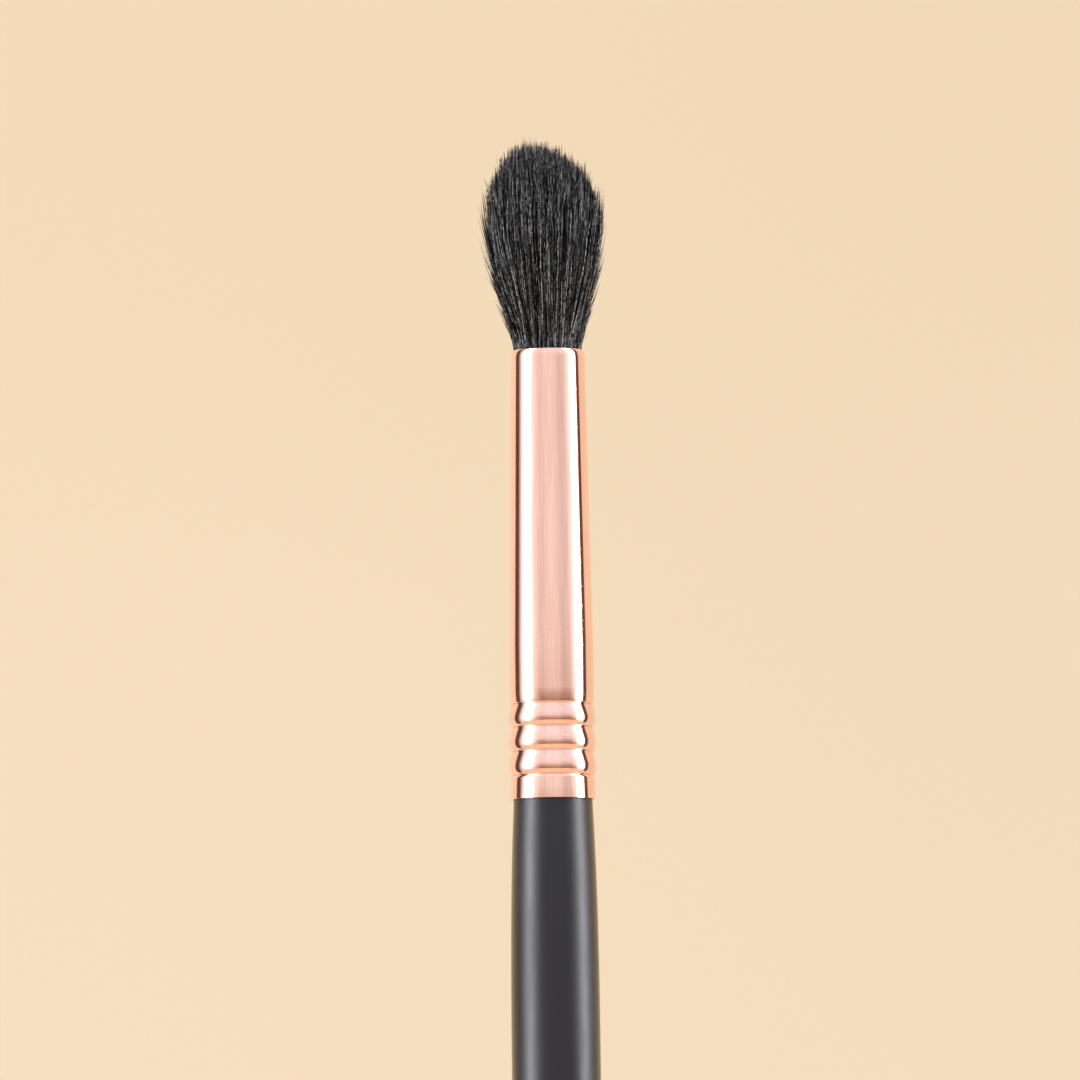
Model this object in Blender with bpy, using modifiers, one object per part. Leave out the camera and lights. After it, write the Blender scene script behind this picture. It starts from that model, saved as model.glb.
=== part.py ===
"""A round tapered blending brush: a turned handle, a beaded metal ferrule and a domed tuft of hair.

The brush stands along +Z with its butt at the origin and its hair at the top.
Lengths are in metres. Run it with: blender --background --python part.py
"""

import math

import bmesh
import bpy

MM = 0.001

# Handle, from its butt up to the ferrule's lower rim
HANDLE_LENGTH = 113.0 * MM
BELLY_RADIUS = 4.21 * MM
BELLY_BELOW_RIM = 30.0 * MM
TAIL_RADIUS = 2.45 * MM
TAIL_ROUND_HEIGHT = 2.6 * MM
BUTT_FLAT_RADIUS = 1.1 * MM
TENON_LENGTH = 17.0 * MM
TENON_CHAMFER = 0.7 * MM
BELLY_POWER = 3.4
TAIL_POWER = 1.8

# Ferrule, from its lower rim up to its mouth
FERRULE_LENGTH = 42.7 * MM
FERRULE_WALL = 0.28 * MM
RIM_RADIUS = 4.06 * MM
RIM_ROUND = 0.06 * MM
BAND_HEIGHT = 2.27 * MM
BAND_TOP_RADIUS = 4.0 * MM
BAND_SHOULDER = 0.35 * MM
GROOVE_RADIUS = 3.86 * MM
BEAD_PITCH = 2.3 * MM
TOP_BEAD_HEIGHT = 2.2 * MM
BEAD_COUNT = 3
BEAD_DEPTH = 0.3 * MM
BEAD_SKEW = 0.78
BEAD_POWER = 2.3
NECK_RADIUS = 4.02 * MM
NECK_SHOULDER = 1.35 * MM
NECK_LENGTH = 4.2 * MM
MOUTH_RADIUS = 3.54 * MM
LIP_HEIGHT = 0.7 * MM
LIP_CURL = 0.18 * MM

# The glue line between the ferrule and each piece that is set in it
GLUE_LINE = 0.06 * MM

# Set root of the hair, the thread that binds it and the resin that holds it
ROOT_DEPTH = 2.5 * MM
ROOT_LENGTH = 7.0 * MM
THREAD_DIAMETER = 0.32 * MM
THREAD_GAP = 0.45 * MM
THREAD_TURNS = 4
WAIST_DEPTH = 0.75 * MM
WAIST_FOOT = 0.5 * MM
CUP_DEPTH = 0.4 * MM
PLUG_FLOOR = 3.2 * MM
PLUG_HOLLOW = 0.9 * MM

# Bead of glue that the tenon pushes up ahead of itself
GLUE_BEAD_HEIGHT = 1.1 * MM

# Tuft, from the ferrule's mouth up to its tip
TUFT_LENGTH = 19.3 * MM
WIDEST_HEIGHT = 13.0 * MM
WIDEST_RADIUS = 5.4 * MM
TUFT_LEAN = -0.08 * MM
APEX_SHIFT = -1.75 * MM
DOME_TILT = 0.5 * MM
RAGGED_HEIGHT = 0.5 * MM
HAIR_CLEARANCE = 0.03 * MM
STRAND_EMBED = 0.5 * MM
STRAND_COUNT = 320
STRAND_SIDES = 3
FLARE_POWER = 1.5
DOME_POWER = 1.75
GOLDEN_ANGLE = math.pi * (3 - math.sqrt(5))

# Sides of the turned pieces, points on their curves and the angle of a sharp edge
ROUND_STEPS = 36
BELLY_POINTS = 6
TAIL_POINTS = 7
BUTT_POINTS = 5
SHOULDER_POINTS = 2
BEAD_POINTS = 6
LIP_POINTS = 4
THREAD_POINTS_PER_TURN = 16
SHARP_ANGLE = math.radians(35)
MERGE = 0.001 * MM

# Strand rings above the mouth: share of the way to the tip, radius as a share of the strands' spacing there
STRAND_RING_SHARES = ((0, 0.46), (0.45, 0.44), (0.87, 0.38), (1, 0))

# Heights that several pieces share
RIM_Z = HANDLE_LENGTH
MOUTH_Z = RIM_Z + FERRULE_LENGTH
ROOT_TOP_Z = MOUTH_Z - ROOT_DEPTH
ROOT_FOOT_Z = ROOT_TOP_Z - ROOT_LENGTH
TENON_TOP_Z = RIM_Z + TENON_LENGTH


def shoulder(share):
    """How far a rounded shoulder has risen, from 0 in its groove to 1 where it levels out."""
    return 1 - (1 - share) ** 2


def bead(share):
    """How far a bead stands out: 0 in the groove below it, 1 at its crest and 0 in the groove above."""
    return 1 - abs(1 - 2 * share**BEAD_SKEW) ** BEAD_POWER


def ferrule_side():
    """Outer side of the ferrule from its lower rim to just under its lip: (height above rim, radius)."""
    points = [(0, RIM_RADIUS - RIM_ROUND), (RIM_ROUND, RIM_RADIUS)]
    for i in range(SHOULDER_POINTS, 0, -1):
        share = i / SHOULDER_POINTS
        height = BAND_HEIGHT - share * BAND_SHOULDER
        points.append((height, GROOVE_RADIUS + shoulder(share) * (BAND_TOP_RADIUS - GROOVE_RADIUS)))
    points.append((BAND_HEIGHT, GROOVE_RADIUS))
    beads_top = BAND_HEIGHT
    for height in [BEAD_PITCH] * (BEAD_COUNT - 1) + [TOP_BEAD_HEIGHT]:
        for i in range(1, BEAD_POINTS + 1):
            share = i / BEAD_POINTS
            points.append((beads_top + share * height, GROOVE_RADIUS + bead(share) * BEAD_DEPTH))
        beads_top += height
    for i in range(1, SHOULDER_POINTS + 1):
        share = i / SHOULDER_POINTS
        height = beads_top + share * NECK_SHOULDER
        points.append((height, GROOVE_RADIUS + shoulder(share) * (NECK_RADIUS - GROOVE_RADIUS)))
    points.append((beads_top + NECK_SHOULDER + NECK_LENGTH, NECK_RADIUS))
    points.append((FERRULE_LENGTH - LIP_HEIGHT, MOUTH_RADIUS))
    return points


def bore_radius(z):
    """Radius of the ferrule's bore at a world height, between the points of its side."""
    height = z - RIM_Z
    points = ferrule_side()
    for (low, low_radius), (high, high_radius) in zip(points, points[1:]):
        if height <= high:
            share = max(0, height - low) / (high - low)
            return low_radius + share * (high_radius - low_radius) - FERRULE_WALL
    return MOUTH_RADIUS - FERRULE_WALL


def fitted_radius(z):
    """Radius of a piece that is glued into the ferrule's bore at a world height."""
    return bore_radius(z) - GLUE_LINE


def tenon_side():
    """Side of the tenon, which the beads are pressed into, from above the rim to its chamfered end."""
    shoulder_z = TENON_TOP_Z - TENON_CHAMFER
    grip = [RIM_Z + height for height, _ in ferrule_side() if RIM_ROUND < height < shoulder_z - RIM_Z]
    side = [(z, fitted_radius(z)) for z in grip + [shoulder_z]]
    return side + [(TENON_TOP_Z, fitted_radius(TENON_TOP_Z) - TENON_CHAMFER)]


def handle_side():
    """Side of the handle from its butt up to the end of its tenon: (height, radius)."""
    top_radius = RIM_RADIUS - FERRULE_WALL - GLUE_LINE
    belly_z = RIM_Z - BELLY_BELOW_RIM
    points = []
    for i in range(BUTT_POINTS):
        turn = math.pi / 2 * i / BUTT_POINTS
        width = BUTT_FLAT_RADIUS + (TAIL_RADIUS - BUTT_FLAT_RADIUS) * math.sin(turn)
        points.append((TAIL_ROUND_HEIGHT * (1 - math.cos(turn)), width))
    for i in range(TAIL_POINTS):
        up = i / TAIL_POINTS
        width = BELLY_RADIUS - (BELLY_RADIUS - TAIL_RADIUS) * (1 - up) ** TAIL_POWER
        points.append((TAIL_ROUND_HEIGHT + up * (belly_z - TAIL_ROUND_HEIGHT), width))
    for i in range(BELLY_POINTS + 1):
        up = i / BELLY_POINTS
        width = BELLY_RADIUS - (BELLY_RADIUS - top_radius) * up**BELLY_POWER
        points.append((belly_z + up * BELLY_BELOW_RIM, width))
    return points + tenon_side()


def ferrule_outline():
    """Cross-section of the ferrule's wall: down its bore, then up its outside, curled in at the lip."""
    outside = ferrule_side()
    bore = [(0, RIM_RADIUS)] + [(height, radius) for height, radius in outside if height > RIM_ROUND]
    bore.append((FERRULE_LENGTH, MOUTH_RADIUS))
    for i in range(1, LIP_POINTS + 1):
        turn = math.pi / 2 * i / LIP_POINTS
        height = FERRULE_LENGTH - LIP_HEIGHT * (1 - math.sin(turn))
        outside.append((height, MOUTH_RADIUS - LIP_CURL * (1 - math.cos(turn))))
    inside = [(height, radius - FERRULE_WALL) for height, radius in reversed(bore)]
    return [(RIM_Z + height, radius) for height, radius in inside + outside]


def waist_radius():
    """Radius of the hair root where the thread draws it in."""
    return bore_radius(ROOT_FOOT_Z) - GLUE_LINE - WAIST_DEPTH


def foot_radius():
    """Radius of the hair root's foot, which stops the thread from slipping off."""
    return waist_radius() + THREAD_DIAMETER / 2


def root_outline():
    """Side of the set hair root from its foot up: a waist that takes the thread, then the full bundle."""
    winding = THREAD_TURNS * (THREAD_DIAMETER + THREAD_GAP) + THREAD_DIAMETER
    waist_low = ROOT_FOOT_Z + WAIST_FOOT
    waist_high = waist_low + winding + 2 * GLUE_LINE
    full_z = waist_high + THREAD_DIAMETER
    return [
        (ROOT_FOOT_Z, 0),
        (ROOT_FOOT_Z, foot_radius()),
        (waist_low, foot_radius()),
        (waist_low, waist_radius()),
        (waist_high, waist_radius()),
        (full_z, fitted_radius(full_z)),
        (ROOT_TOP_Z, fitted_radius(ROOT_TOP_Z)),
        (ROOT_TOP_Z, 0),
    ]


def plug_outline():
    """Resin plug from its hollow underside up: a shallow cup round the foot of the set root."""
    seat_z = ROOT_FOOT_Z - GLUE_LINE
    under_z = seat_z - PLUG_FLOOR
    cup_z = seat_z + min(CUP_DEPTH, WAIST_FOOT)
    cup_radius = foot_radius() + GLUE_LINE
    return [
        (under_z + PLUG_HOLLOW, 0),
        (under_z + PLUG_HOLLOW / 2, fitted_radius(under_z) / 2),
        (under_z, fitted_radius(under_z)),
        (cup_z, fitted_radius(cup_z)),
        (cup_z, cup_radius),
        (seat_z, cup_radius),
        (seat_z, 0),
    ]


def glue_bead_outline():
    """Cross-section of the glue ring on the tenon's chamfer: up the bore, then down to the chamfer."""
    low_z = TENON_TOP_Z - TENON_CHAMFER + GLUE_LINE
    top_z = low_z + GLUE_BEAD_HEIGHT
    end_radius = fitted_radius(TENON_TOP_Z) - TENON_CHAMFER
    return [
        (low_z, fitted_radius(low_z)),
        (top_z, fitted_radius(top_z)),
        (TENON_TOP_Z + GLUE_LINE, end_radius),
        (TENON_TOP_Z, end_radius + GLUE_LINE),
    ]


def bundle_radius():
    """Radius of the hair where it passes the ferrule's lip."""
    return MOUTH_RADIUS - FERRULE_WALL - HAIR_CLEARANCE


def flare(height):
    """How far the tuft has opened at a height above the mouth, from 0 there to 1 at its widest."""
    rise = min(max(height / WIDEST_HEIGHT, 0), 1)
    return math.sin(math.pi / 2 * rise) ** FLARE_POWER


def tuft_radius(height):
    """Radius of the outermost hairs at a height above the mouth."""
    return bundle_radius() + (WIDEST_RADIUS - bundle_radius()) * flare(height)


def tip_height(x_share, y_share):
    """Height above the mouth of the tuft's dome, which has its apex off the axis and a tilted foot."""
    from_apex_x = x_share * WIDEST_RADIUS - APEX_SHIFT
    from_apex_y = y_share * WIDEST_RADIUS
    along = from_apex_x * APEX_SHIFT
    reach = WIDEST_RADIUS**2 - APEX_SHIFT**2
    outward = (along + math.sqrt(along**2 + reach * (from_apex_x**2 + from_apex_y**2))) / reach
    dome = (1 - min(1, outward) ** DOME_POWER) ** (1 / DOME_POWER)
    foot = WIDEST_HEIGHT - DOME_TILT * x_share
    return foot + (TUFT_LENGTH - foot) * dome


def strand_stations(index):
    """Centre and radius of a strand in its set root and at each of its rings, in a spiral pattern."""
    out = math.sqrt((index + 0.5) / STRAND_COUNT)
    x_share = out * math.cos(index * GOLDEN_ANGLE)
    y_share = out * math.sin(index * GOLDEN_ANGLE)
    tip = tip_height(x_share, y_share) - RAGGED_HEIGHT * (index * GOLDEN_ANGLE % 1)
    stations = []
    for up, thickness in STRAND_RING_SHARES:
        height = up * tip
        radius = thickness * tuft_radius(height) * math.sqrt(math.pi / STRAND_COUNT)
        spread = tuft_radius(height) - radius
        lean = TUFT_LEAN * flare(height)
        stations.append((x_share * spread + lean, y_share * spread, MOUTH_Z + height, radius))
    x, y, _, radius = stations[0]
    return [(x, y, ROOT_TOP_Z - STRAND_EMBED, radius)] + stations


def surface(name, colour, roughness, metallic):
    """A material with one colour and finish."""
    look = bpy.data.materials.new(name)
    look.use_nodes = True
    shader = look.node_tree.nodes["Principled BSDF"]
    shader.inputs["Base Color"].default_value = (*colour, 1)
    shader.inputs["Roughness"].default_value = roughness
    shader.inputs["Metallic"].default_value = metallic
    return look


def finished(piece, look, collection):
    """Puts a piece in a collection as a plain mesh, shaded smooth between its sharp edges."""
    collection.objects.link(piece)
    shown = piece.evaluated_get(bpy.context.evaluated_depsgraph_get())
    mesh = bpy.data.meshes.new_from_object(shown)
    piece.modifiers.clear()
    piece.data = mesh
    mesh.shade_smooth()
    mesh.set_sharp_from_angle(angle=SHARP_ANGLE)
    mesh.materials.append(look)


def turned(name, outline, closed):
    """A turned piece from (height, radius) points up its outer side. A closed outline makes a ring."""
    corners = [(radius, 0, z) for z, radius in reversed(outline)]
    edges = [(i, i + 1) for i in range(len(corners) - 1)]
    if closed:
        edges.append((len(corners) - 1, 0))
    mesh = bpy.data.meshes.new(name)
    mesh.from_pydata(corners, edges, [])
    piece = bpy.data.objects.new(name, mesh)
    screw = piece.modifiers.new("Turn", "SCREW")
    screw.steps = ROUND_STEPS
    screw.render_steps = ROUND_STEPS
    screw.use_merge_vertices = True
    screw.merge_threshold = MERGE
    return piece


def make_handle(collection):
    side = handle_side()
    outline = [(0, 0)] + side + [(side[-1][0], 0)]
    lacquer = surface("handle_lacquer", (0.035, 0.034, 0.038), 0.42, 0)
    finished(turned("handle", outline, False), lacquer, collection)


def make_ferrule(collection):
    plate = surface("rose_gold_plate", (0.93, 0.58, 0.44), 0.12, 1)
    finished(turned("ferrule", ferrule_outline(), True), plate, collection)


def make_plug(collection):
    resin = surface("set_resin", (0.72, 0.6, 0.36), 0.3, 0)
    finished(turned("resin_plug", plug_outline(), False), resin, collection)


def make_glue_bead(collection):
    glue = surface("handle_glue", (0.85, 0.83, 0.76), 0.45, 0)
    finished(turned("glue_bead", glue_bead_outline(), True), glue, collection)


def make_thread(collection):
    """The thread that binds the hair root, one open helix in the root's waist."""
    curve = bpy.data.curves.new("root_thread", "CURVE")
    curve.dimensions = "3D"
    curve.bevel_depth = THREAD_DIAMETER / 2
    curve.bevel_resolution = 0
    curve.use_fill_caps = True
    lay = waist_radius() + GLUE_LINE + THREAD_DIAMETER / 2
    low_z = ROOT_FOOT_Z + WAIST_FOOT + GLUE_LINE + THREAD_DIAMETER / 2
    spline = curve.splines.new("POLY")
    spline.points.add(THREAD_TURNS * THREAD_POINTS_PER_TURN)
    for i, point in enumerate(spline.points):
        turn = i / THREAD_POINTS_PER_TURN
        angle = 2 * math.pi * turn
        z = low_z + turn * (THREAD_DIAMETER + THREAD_GAP)
        point.co = (lay * math.cos(angle), lay * math.sin(angle), z, 1)
    curve.materials.append(surface("binding_thread", (0.8, 0.76, 0.68), 0.8, 0))
    collection.objects.link(bpy.data.objects.new("root_thread", curve))


def add_strand(bm, index):
    """One strand: a thin pyramid, cut at each of its stations and then laid along them."""
    stations = strand_stations(index)
    top = len(stations) - 1
    made = bmesh.ops.create_cone(
        bm, cap_ends=True, segments=STRAND_SIDES, radius1=1, radius2=0, depth=top
    )
    bmesh.ops.translate(bm, verts=made["verts"], vec=(0, 0, top / 2))
    for level in range(1, top):
        faces = {face for vert in made["verts"] for face in vert.link_faces}
        edges = {edge for face in faces for edge in face.edges}
        geometry = made["verts"] + list(edges) + list(faces)
        cut = bmesh.ops.bisect_plane(
            bm, geom=geometry, plane_co=(0, 0, level), plane_no=(0, 0, 1)
        )
        made["verts"] += [item for item in cut["geom_cut"] if isinstance(item, bmesh.types.BMVert)]
    for vert in made["verts"]:
        x, y, z, radius = stations[round(vert.co.z)]
        around = math.atan2(vert.co.y, vert.co.x) + index * GOLDEN_ANGLE
        vert.co = (x + radius * math.cos(around), y + radius * math.sin(around), z)


def make_tuft(collection, cutters):
    """The hair: separate strands fused to the set root that they stand in."""
    mesh = bpy.data.meshes.new("strands")
    bm = bmesh.new()
    for index in range(STRAND_COUNT):
        add_strand(bm, index)
    bmesh.ops.recalc_face_normals(bm, faces=bm.faces)
    bm.to_mesh(mesh)
    bm.free()
    strands = bpy.data.objects.new("strands", mesh)
    strands.hide_render = True
    strands.display_type = "WIRE"
    cutters.objects.link(strands)
    tuft = turned("hair_tuft", root_outline(), False)
    join = tuft.modifiers.new("Strands", "BOOLEAN")
    join.operation = "UNION"
    join.object = strands
    finished(tuft, surface("black_hair", (0.03, 0.03, 0.033), 0.5, 0), collection)


def main():
    for old in list(bpy.data.objects):
        bpy.data.objects.remove(old)
    brush = bpy.data.collections.new("blending_brush")
    cutters = bpy.data.collections.new("cutters")
    for collection in (brush, cutters):
        bpy.context.scene.collection.children.link(collection)
    make_handle(brush)
    make_ferrule(brush)
    make_plug(brush)
    make_glue_bead(brush)
    make_thread(brush)
    make_tuft(brush, cutters)


main()
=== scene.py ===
"""Looks of the blending brush: its hair, its polished ferrule, its lacquered handle and their studio.

Lengths are in metres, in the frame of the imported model: the brush stands along +Z, with its butt at the
origin. A noise's waves are counts per metre along X, Y and Z. A direction round the brush is 0 behind the
camera and negative on the left.
"""

import math

import bpy
import numpy as np
from mathutils import Matrix, Vector


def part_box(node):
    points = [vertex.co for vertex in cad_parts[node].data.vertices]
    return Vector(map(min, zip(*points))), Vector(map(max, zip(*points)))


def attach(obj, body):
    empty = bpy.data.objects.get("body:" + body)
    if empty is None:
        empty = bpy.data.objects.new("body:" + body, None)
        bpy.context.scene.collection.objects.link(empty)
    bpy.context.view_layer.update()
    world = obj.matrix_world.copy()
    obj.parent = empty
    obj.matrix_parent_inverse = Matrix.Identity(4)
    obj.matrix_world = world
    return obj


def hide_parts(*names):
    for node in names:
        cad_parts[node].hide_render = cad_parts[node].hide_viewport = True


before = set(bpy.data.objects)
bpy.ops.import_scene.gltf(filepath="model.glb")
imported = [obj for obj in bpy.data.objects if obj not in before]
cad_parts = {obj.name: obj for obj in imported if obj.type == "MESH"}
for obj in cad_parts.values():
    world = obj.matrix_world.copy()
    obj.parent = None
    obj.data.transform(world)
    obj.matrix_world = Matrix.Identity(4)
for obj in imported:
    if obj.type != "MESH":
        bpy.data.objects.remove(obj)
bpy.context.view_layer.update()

MM = 0.001

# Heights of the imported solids
RIM_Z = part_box("ferrule")[0].z
MOUTH_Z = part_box("ferrule")[1].z
TENON_TOP_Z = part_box("handle")[1].z

# Ferrule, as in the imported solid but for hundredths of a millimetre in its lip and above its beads' crests
FERRULE_WALL = 0.28 * MM
RIM_RADIUS = 4.06 * MM
RIM_ROUND = 0.02 * MM
BAND_HEIGHT = 2.27 * MM
BAND_TOP_RADIUS = 4.0 * MM
BAND_SHOULDER = 0.35 * MM
GROOVE_RADIUS = 3.86 * MM
GROOVE_ROUND = 0.02 * MM
BEAD_HEIGHTS = (2.3 * MM, 2.3 * MM, 2.2 * MM)
BEAD_DEPTH = 0.3 * MM
# The skew puts a bead's crest below its middle, and the powers set how full it is below and above there
BEAD_SKEW = 0.78
BEAD_POWER = 2.5
BEAD_TOP_POWER = 1.6
NECK_RADIUS = 4.02 * MM
NECK_SHOULDER = 1.35 * MM
NECK_STEP = 0.07 * MM
NECK_LENGTH = 4.2 * MM
MOUTH_RADIUS = 3.54 * MM
LIP_HEIGHT = 0.8 * MM
LIP_CURL = 0.25 * MM

# Handle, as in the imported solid
BELLY_RADIUS = 4.21 * MM
BELLY_BELOW_RIM = 30.0 * MM
BELLY_POWER = 3.4
TAIL_RADIUS = 2.45 * MM
TAIL_ROUND_HEIGHT = 2.6 * MM
TAIL_POWER = 1.8
BUTT_FLAT_RADIUS = 1.1 * MM
GLUE_LINE = 0.06 * MM
SHOULDER_RADIUS = RIM_RADIUS - FERRULE_WALL - GLUE_LINE
TENON_CHAMFER = 0.7 * MM

# Tuft: its outline, and how far its lean and its apex are off the axis
TUFT_LENGTH = 19.3 * MM
WIDEST_HEIGHT = 13.0 * MM
WIDEST_RADIUS = 5.22 * MM
BUNDLE_CLEARANCE = 0.09 * MM
BUNDLE_RADIUS = MOUTH_RADIUS - FERRULE_WALL - BUNDLE_CLEARANCE
TUFT_LEAN = -0.08 * MM
APEX_SHIFT = -1.75 * MM
DOME_TILT = 0.5 * MM
FLARE_POWER = 1.45
DOME_POWER = 1.86

# Fineness of the turned pieces
ROUND_STEPS = 192
SHARP_ANGLE = math.radians(35)
MERGE_DISTANCE = 0.0005 * MM
SHOULDER_POINTS = 14
BEAD_POINTS = 32
NECK_STEP_POINTS = 4
LIP_POINTS = 14
BUTT_POINTS = 14
TAIL_POINTS = 40
BELLY_POINTS = 30


def new_object(name, data):
    made = bpy.data.objects.new(name, data)
    bpy.context.scene.collection.objects.link(made)
    return made


def coat(mesh, look):
    """Makes a material the only one of a mesh."""
    mesh.materials.clear()
    mesh.materials.append(look)


def in_place_of(piece, node):
    """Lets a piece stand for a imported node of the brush's one body."""
    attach(piece, "root")
    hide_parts(node)


def new_tree(name):
    """A new material, its node tree and the tree's Principled shader."""
    made = bpy.data.materials.new(name)
    made.use_nodes = True
    return made, made.node_tree, made.node_tree.nodes["Principled BSDF"]


def add(tree, kind, inputs=None, **settings):
    """A node with its settings and inputs. An input is a value, or the output socket that feeds it."""
    made = tree.nodes.new(kind)
    for key, value in settings.items():
        setattr(made, key, value)
    for key, value in (inputs or {}).items():
        if isinstance(value, bpy.types.NodeSocket):
            tree.links.new(value, made.inputs[key])
        else:
            made.inputs[key].default_value = value
    return made


def maths(tree, operation, first, second=0.0, third=0.0):
    return add(tree, "ShaderNodeMath", {0: first, 1: second, 2: third}, operation=operation).outputs[0]


def vector_maths(tree, operation, first, second):
    return add(tree, "ShaderNodeVectorMath", {0: first, 1: second}, operation=operation).outputs[0]


def scaled(tree, colour, share):
    inputs = {0: colour, "Scale": share}
    return add(tree, "ShaderNodeVectorMath", inputs, operation="SCALE").outputs[0]


def mapped(tree, value, low, high, to_low=0.0, to_high=1.0):
    """A value moved from one range to another and kept inside it, with soft ends."""
    inputs = {"Value": value, "From Min": low, "From Max": high, "To Min": to_low, "To Max": to_high}
    return add(tree, "ShaderNodeMapRange", inputs, interpolation_type="SMOOTHSTEP").outputs["Result"]


def mixed(tree, share, first, second):
    """A colour between two others."""
    inputs = {"Factor": share, 6: first, 7: second}
    return add(tree, "ShaderNodeMix", inputs, data_type="RGBA").outputs[2]


def ramp(tree, value, stops):
    """A colour ramp with (place, colour) stops. It comes with two, and the others are added to it."""
    made = add(tree, "ShaderNodeValToRGB", {"Fac": value})
    elements = made.color_ramp.elements
    for _ in range(len(stops) - len(elements)):
        elements.new(0.5)
    for element, (place, colour) in zip(elements, stops):
        element.position = place
        element.color = (*colour, 1)
    return made.outputs["Color"]


def noise(tree, waves, detail=3.0, distortion=0.0, shift=None):
    """Noise in the piece's own space. A shift moves it by that many waves."""
    place = add(tree, "ShaderNodeTexCoord").outputs["Object"]
    place = vector_maths(tree, "MULTIPLY", place, waves)
    if shift is not None:
        place = vector_maths(tree, "ADD", place, shift)
    inputs = {"Vector": place, "Scale": 1.0, "Detail": detail, "Distortion": distortion}
    return add(tree, "ShaderNodeTexNoise", inputs).outputs["Fac"]


def feed(tree, value, shader, key):
    """Links a value to an input of a shader."""
    tree.links.new(value, shader.inputs[key])


def bumped(tree, shader, height, distance):
    """Sets a bump of a height map on a shader."""
    inputs = {"Height": height, "Distance": distance, "Strength": 1.0}
    feed(tree, add(tree, "ShaderNodeBump", inputs).outputs["Normal"], shader, "Normal")


# Rose-gold plate: its drawn lines, painted shade in the grooves between its beads, its smears, dents and
# pits
PLATE_DARK = (0.93, 0.56, 0.46, 1)
PLATE_LIGHT = (1.0, 0.64, 0.54, 1)
PLATE_CLOUD_WAVES = (260.0, 260.0, 90.0)
PLATE_DRAWN_WAVES = (9000.0, 9000.0, 40.0)
PLATE_DRAWN_SHARE = 0.7
PLATE_TONE_RANGE = (0.37, 0.63)
# Painted shade in the grooves: its colour, its share, how far above a groove's bottom it reaches, and where
# it fades out under the neck
GROOVE_SHADE_COLOUR = (0.62, 0.33, 0.22, 1)
GROOVE_SHADE_SHARE = 0.42
GROOVE_SHADE_RISE = 0.06 * MM
GROOVE_SHADE_TOP = RIM_Z + BAND_HEIGHT + sum(BEAD_HEIGHTS) + NECK_SHOULDER
GROOVE_SHADE_FADE = 1.0 * MM
PLATE_SMEAR_WAVES = (500.0, 500.0, 140.0)
PLATE_POLISH_WAVES = (900.0, 900.0, 22000.0)
PLATE_LEAST_ROUGHNESS = 0.03
PLATE_SMEAR_ROUGHNESS = 0.05
PLATE_POLISH_ROUGHNESS = 0.03
PLATE_DENT_WAVES = (350.0, 350.0, 120.0)
PLATE_PIT_WAVES = (5200.0, 5200.0, 3600.0)
PLATE_PIT_RANGE = (0.62, 0.72)
PLATE_PIT_HEIGHT = -0.3
PLATE_BUMP = 0.004 * MM


def rose_gold():
    made, tree, shader = new_tree("rose_gold_plate")
    shader.inputs["Metallic"].default_value = 1.0
    cloud = noise(tree, PLATE_CLOUD_WAVES, detail=2.0)
    drawn = noise(tree, PLATE_DRAWN_WAVES, detail=1.0)
    rest = maths(tree, "MULTIPLY", cloud, 1 - PLATE_DRAWN_SHARE)
    tone = maths(tree, "MULTIPLY_ADD", drawn, PLATE_DRAWN_SHARE, rest)
    colour = mixed(tree, mapped(tree, tone, *PLATE_TONE_RANGE), PLATE_DARK, PLATE_LIGHT)
    place = add(tree, "ShaderNodeTexCoord").outputs["Object"]
    flat = vector_maths(tree, "MULTIPLY", place, (1, 1, 0))
    radius = add(tree, "ShaderNodeVectorMath", {0: flat}, operation="LENGTH").outputs["Value"]
    height = add(tree, "ShaderNodeSeparateXYZ", {0: place}).outputs["Z"]
    # Painted shade: the plate is darkened toward each groove's bottom, fading out at the neck's shoulder
    groove, unshaded = GROOVE_RADIUS + GROOVE_ROUND, GROOVE_RADIUS + GROOVE_SHADE_RISE
    groove_shade = mapped(tree, radius, groove, unshaded, GROOVE_SHADE_SHARE, 0.0)
    groove_shade = maths(tree, "MULTIPLY", groove_shade, mapped(tree, height, GROOVE_SHADE_TOP, GROOVE_SHADE_TOP - GROOVE_SHADE_FADE))
    feed(tree, mixed(tree, groove_shade, colour, GROOVE_SHADE_COLOUR), shader, "Base Color")
    smear = noise(tree, PLATE_SMEAR_WAVES, detail=4.0)
    polish = noise(tree, PLATE_POLISH_WAVES, detail=2.0)
    rough = maths(tree, "MULTIPLY_ADD", smear, PLATE_SMEAR_ROUGHNESS, PLATE_LEAST_ROUGHNESS)
    rough = maths(tree, "MULTIPLY_ADD", polish, PLATE_POLISH_ROUGHNESS, rough)
    feed(tree, rough, shader, "Roughness")
    dents = noise(tree, PLATE_DENT_WAVES, detail=1.0)
    pits = mapped(tree, noise(tree, PLATE_PIT_WAVES, detail=1.0), *PLATE_PIT_RANGE)
    bumped(tree, shader, maths(tree, "MULTIPLY_ADD", pits, PLATE_PIT_HEIGHT, dents), PLATE_BUMP)
    return made


# Lacquer over wood: a faint grain, a satin film with a fine peel, and a sheen tinted orange that paints a
# warm reflection of the beige surroundings on its edges
LACQUER_DARK = (0.0078, 0.0078, 0.0115, 1)
LACQUER_LIGHT = (0.0105, 0.0103, 0.0155, 1)
LACQUER_GRAIN_WAVES = (1900.0, 1900.0, 60.0)
LACQUER_GRAIN_BEND = 0.3
LACQUER_CLOUD_WAVES = (700.0, 700.0, 160.0)
LACQUER_ROUGHNESS = (0.39, 0.45)
LACQUER_SPECULAR = 0.54
LACQUER_SPECULAR_TINT = (0.94, 0.95, 1.0, 1)
LACQUER_SHEEN_ROUGHNESS = 0.3
LACQUER_SHEEN_TINT = (1.0, 0.71, 0.34, 1)
LACQUER_PEEL_WAVES = (2600.0, 2600.0, 700.0)
LACQUER_PEEL_SHARE = 0.6
LACQUER_BUMP = 0.0022 * MM

# The part of a noise's range that most of it falls in
CLOUD_RANGE = (0.2, 0.8)


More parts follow.
